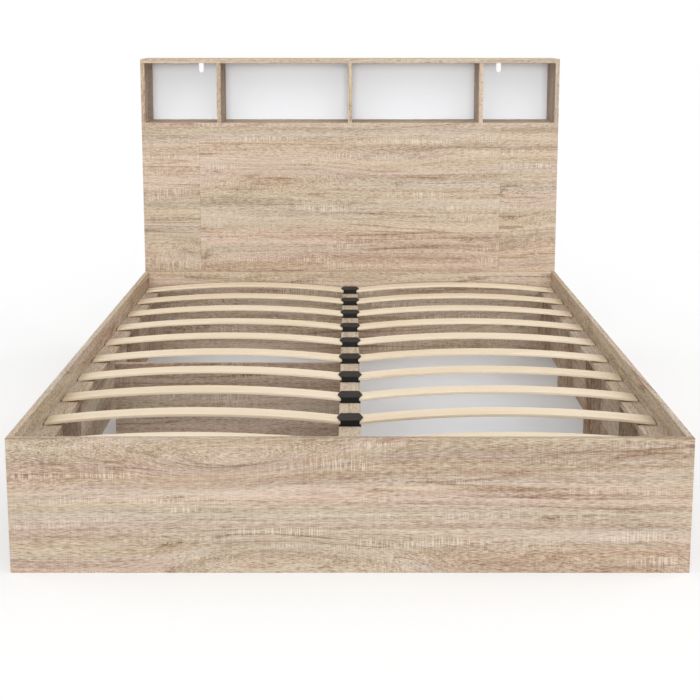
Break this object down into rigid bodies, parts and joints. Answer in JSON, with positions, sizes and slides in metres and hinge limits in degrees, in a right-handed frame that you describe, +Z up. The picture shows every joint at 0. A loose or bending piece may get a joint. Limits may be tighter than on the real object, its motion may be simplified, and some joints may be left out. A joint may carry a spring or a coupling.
{
  "type": "double bed",
  "caption": "Double bed of pale oak-grain board with a bowed slat base on a centre beam and a tall headboard with open storage niches.",
  "frame": {"origin": "on the floor, in the middle of the bed's length and width", "axes": "+X to the right seen from the foot, +Y from the foot to the head, +Z up"},
  "size_m": [1.632, 2.232, 1.176],
  "materials": {
    "oak_board": "laminated board with a pale sawn-oak grain, satin",
    "slat_wood": "plain birch veneer, smooth and matt",
    "holder_plastic": "black moulded plastic, finely grained",
    "white_hardboard": "hardboard with a white painted face",
    "bolt_steel": "zinc-plated steel"
  },
  "bodies": {
    "root": {"back_lower": "white_hardboard", "back_upper": "white_hardboard", "bed_bolts": "bolt_steel", "centre_cap": "oak_board", "centre_panel": "oak_board", "cross_panel": "oak_board", "footboard": "oak_board", "head_rail": "oak_board", "headboard_front_centre": "oak_board", "headboard_front_left": "oak_board", "headboard_front_right": "oak_board", "headboard_partition_left": "oak_board", "headboard_partition_right": "oak_board", "headboard_side_left": "oak_board", "headboard_side_right": "oak_board", "headboard_top": "oak_board", "ledger_left": "oak_board", "ledger_right": "oak_board", "niche_divider_centre": "oak_board", "niche_divider_left": "oak_board", "niche_divider_right": "oak_board", "niche_shelf": "oak_board", "niche_side_left": "oak_board", "niche_side_right": "oak_board", "side_rail_left": "oak_board", "side_rail_right": "oak_board", "slat_holder_01": "holder_plastic", "slat_holder_02": "holder_plastic", "slat_holder_03": "holder_plastic", "slat_holder_04": "holder_plastic", "slat_holder_05": "holder_plastic", "slat_holder_06": "holder_plastic", "slat_holder_07": "holder_plastic", "slat_holder_08": "holder_plastic", "slat_holder_09": "holder_plastic", "slat_holder_10": "holder_plastic", "slat_left_01": "slat_wood", "slat_left_02": "slat_wood", "slat_left_03": "slat_wood", "slat_left_04": "slat_wood", "slat_left_05": "slat_wood", "slat_left_06": "slat_wood", "slat_left_07": "slat_wood", "slat_left_08": "slat_wood", "slat_left_09": "slat_wood", "slat_left_10": "slat_wood", "slat_right_01": "slat_wood", "slat_right_02": "slat_wood", "slat_right_03": "slat_wood", "slat_right_04": "slat_wood", "slat_right_05": "slat_wood", "slat_right_06": "slat_wood", "slat_right_07": "slat_wood", "slat_right_08": "slat_wood", "slat_right_09": "slat_wood", "slat_right_10": "slat_wood", "support_posts_left": "oak_board", "support_posts_right": "oak_board"}
  },
  "joints": []
}
